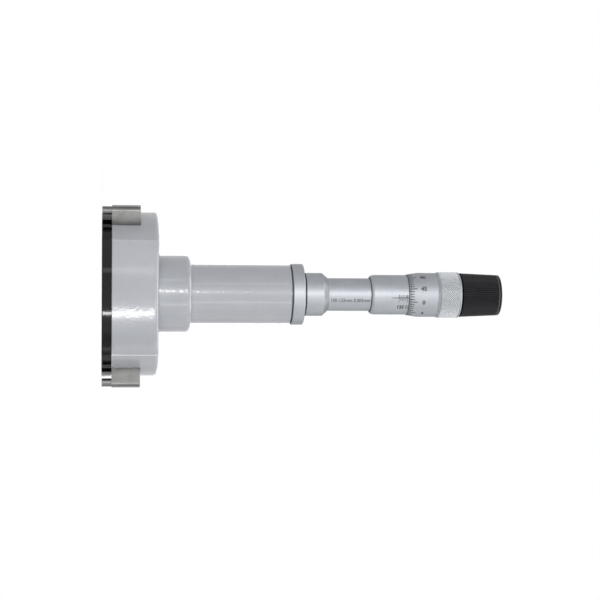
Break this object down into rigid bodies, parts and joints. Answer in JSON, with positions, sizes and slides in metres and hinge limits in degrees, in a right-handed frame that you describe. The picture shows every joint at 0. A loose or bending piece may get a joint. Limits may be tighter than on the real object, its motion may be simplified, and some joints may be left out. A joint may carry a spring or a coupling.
{
  "type": "inside micrometer",
  "caption": "Inside micrometer with a lobed head whose slides move out on a cone as the graduated thimble turns, and a fluted ratchet cap at its other end.",
  "frame": {"origin": "centre of the front cover's outer face, on the instrument's axis", "axes": "+Z along the instrument's axis, from the measuring head to the ratchet cap; +Y along the first slide; the length scale faces -Y"},
  "size_m": [0.1052, 0.0963, 0.2398],
  "materials": {
    "head_paint": "grey stoved paint with a light orange peel",
    "cover_black": "gloss black",
    "satin_steel": "satin chromed",
    "ground_steel": "ground",
    "hard_pin": "polished",
    "inner_steel": "turned",
    "bronze": "turned",
    "cap_black": "moulded, with fine flutes"
  },
  "bodies": {
    "frame": {"head_body": "head_paint", "front_cover": "cover_black", "cover_screws": "inner_steel", "extension_tube": "head_paint", "union_ring": "satin_steel", "stem_body": "satin_steel", "scale_sleeve": "satin_steel", "adjusting_nut": "bronze", "rod_bush_front": "bronze", "rod_bush_rear": "bronze", "anvil_spring_1": "inner_steel", "anvil_spring_2": "inner_steel", "anvil_spring_3": "inner_steel"},
    "feed": {"measuring_cone": "inner_steel", "push_rod": "inner_steel", "thrust_pin": "inner_steel"},
    "thimble": {"spindle": "inner_steel", "thimble": "satin_steel", "thimble_nut": "inner_steel", "ratchet_wheel": "inner_steel", "ratchet_screw": "inner_steel"},
    "ratchet": {"ratchet_drum": "bronze", "ratchet_pawl": "inner_steel", "pawl_spring": "inner_steel", "ratchet_cap": "cap_black"},
    "anvil_1": {"anvil_carrier_1": "ground_steel", "contact_pin_1": "hard_pin"},
    "anvil_2": {"anvil_carrier_2": "ground_steel", "contact_pin_2": "hard_pin"},
    "anvil_3": {"anvil_carrier_3": "ground_steel", "contact_pin_3": "hard_pin"}
  },
  "joints": [
    {"name": "feed_slide", "type": "slide", "parent": "frame", "child": "feed", "axis": [0, 0, -1], "range_m": [-0.01898, 0.00602]},
    {"name": "thimble_turn", "type": "hinge", "parent": "feed", "child": "thimble", "pos_m": [0, 0, 0.2], "axis": [0, 0, -1], "range_deg": [-13669.3, 4330.9]},
    {"name": "ratchet_turn", "type": "hinge", "parent": "thimble", "child": "ratchet", "pos_m": [0, 0, 0.225], "axis": [0, 0, -1], "continuous": true},
    {"name": "anvil_slide_1", "type": "slide", "parent": "frame", "child": "anvil_1", "axis": [0, 1, 0], "range_m": [-0.0095, 0.00301], "deforming": ["anvil_spring_1"]},
    {"name": "anvil_slide_2", "type": "slide", "parent": "frame", "child": "anvil_2", "axis": [-0.866, -0.5, 0], "range_m": [-0.0095, 0.00301], "deforming": ["anvil_spring_2"]},
    {"name": "anvil_slide_3", "type": "slide", "parent": "frame", "child": "anvil_3", "axis": [0.866, -0.5, 0], "range_m": [-0.0095, 0.00301], "deforming": ["anvil_spring_3"]}
  ],
  "couplings": [
    {"joint": "thimble_turn", "follows": "feed_slide", "rad_per_m": 12566},
    {"joint": "anvil_slide_1", "follows": "feed_slide", "ratio": 0.5},
    {"joint": "anvil_slide_2", "follows": "feed_slide", "ratio": 0.5},
    {"joint": "anvil_slide_3", "follows": "feed_slide", "ratio": 0.5}
  ]
}
